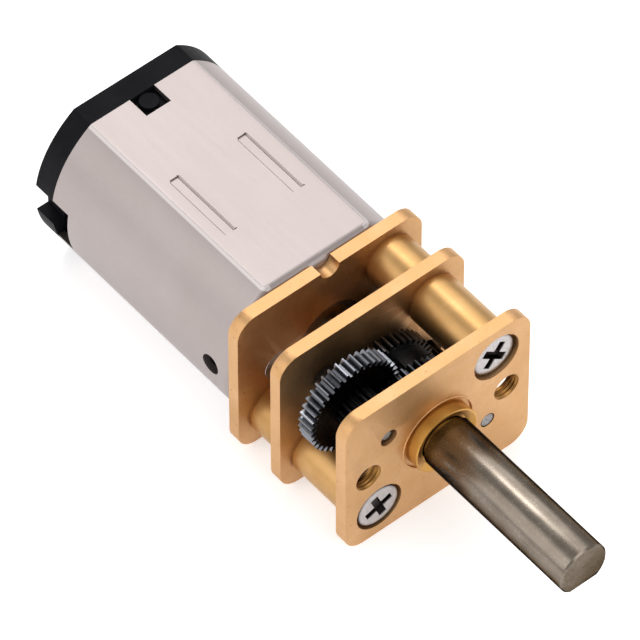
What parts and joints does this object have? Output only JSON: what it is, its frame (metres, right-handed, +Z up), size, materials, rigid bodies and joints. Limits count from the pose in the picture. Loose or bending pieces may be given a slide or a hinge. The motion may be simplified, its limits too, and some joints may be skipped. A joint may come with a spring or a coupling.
{
  "type": "gearmotor",
  "caption": "Small flat-sided DC motor with an open brass-plate spur gearbox and a D-cut output shaft.",
  "frame": {"origin": "on the output shaft's axis, in the front (mounting) face of the front plate", "axes": "+X out along the output shaft, +Y across the 12 mm width, +Z up through the 10 mm height"},
  "size_m": [0.0366, 0.0122, 0.01],
  "materials": {
    "plate_brass": "fine matte brass sheet, punched edges",
    "bushing_brass": "turned brass",
    "spacer_brass": "turned brass",
    "screw_steel": "bright nickel plated steel",
    "axle_steel": "ground steel",
    "shaft_steel": "ground steel, turned along its length",
    "wheel_steel": "blackened steel faces with bright cut teeth",
    "pinion_steel": "hobbed steel",
    "pinion_brass": "hobbed brass",
    "washer_steel": "stamped steel",
    "can_nickel": "satin nickel plated drawn steel",
    "cap_plastic": "black moulded nylon",
    "bearing_bronze": "sintered bronze",
    "magnet_ferrite": "bonded ferrite",
    "spring_steel": "spring steel strip",
    "core_steel": "stacked laminations",
    "copper_wire": "enamelled copper wire",
    "contact_copper": "phosphor bronze strip"
  },
  "bodies": {
    "frame": {"front_plate": "plate_brass", "output_bushing": "bushing_brass", "middle_plate": "plate_brass", "rear_plate": "plate_brass", "front_spacer_upper": "spacer_brass", "front_spacer_lower": "spacer_brass", "rear_spacer_upper": "spacer_brass", "rear_spacer_lower": "spacer_brass", "gearbox_screws": "screw_steel", "motor_screws": "screw_steel", "first_idler_axle": "axle_steel", "third_idler_axle": "axle_steel", "motor_can": "can_nickel", "end_cap": "cap_plastic", "front_bearing": "bearing_bronze", "rear_bearing": "bearing_bronze", "magnet_left": "magnet_ferrite", "magnet_right": "magnet_ferrite", "magnet_spring": "spring_steel", "brush_left": "contact_copper", "brush_right": "contact_copper", "terminal_left": "contact_copper", "terminal_right": "contact_copper"},
    "rotor": {"motor_shaft": "axle_steel", "motor_pinion": "pinion_brass", "armature_core": "core_steel", "winding_1": "copper_wire", "winding_2": "copper_wire", "winding_3": "copper_wire", "commutator_hub": "cap_plastic", "commutator_segments": "contact_copper", "varistor_ring": "magnet_ferrite", "shim_washers": "washer_steel"},
    "first_idler": {"first_idler_wheel": "wheel_steel", "first_idler_pinion": "pinion_steel"},
    "second_idler": {"second_idler_wheel": "wheel_steel", "second_idler_pinion": "pinion_steel"},
    "third_idler": {"third_idler_wheel": "wheel_steel", "third_idler_pinion": "pinion_steel"},
    "output": {"output_shaft": "shaft_steel", "output_gear": "wheel_steel", "output_thrust_washer": "washer_steel"}
  },
  "joints": [
    {"name": "motor_spin", "type": "hinge", "parent": "frame", "child": "rotor", "pos_m": [0, 0, 0], "axis": [1, 0, 0], "continuous": true},
    {"name": "first_idler_spin", "type": "hinge", "parent": "frame", "child": "first_idler", "pos_m": [0, 0.00329, -0.00171], "axis": [1, 0, 0], "continuous": true},
    {"name": "second_idler_spin", "type": "hinge", "parent": "frame", "child": "second_idler", "pos_m": [0, 0, 0], "axis": [1, 0, 0], "continuous": true},
    {"name": "third_idler_spin", "type": "hinge", "parent": "frame", "child": "third_idler", "pos_m": [0, -0.00319, 0.00215], "axis": [1, 0, 0], "continuous": true},
    {"name": "output_spin", "type": "hinge", "parent": "frame", "child": "output", "pos_m": [0, 0, 0], "axis": [1, 0, 0], "continuous": true}
  ],
  "couplings": [
    {"joint": "first_idler_spin", "follows": "motor_spin", "ratio": -0.39474},
    {"joint": "second_idler_spin", "follows": "motor_spin", "ratio": 0.12829},
    {"joint": "third_idler_spin", "follows": "motor_spin", "ratio": -0.052632},
    {"joint": "output_spin", "follows": "motor_spin", "ratio": 0.019737}
  ]
}
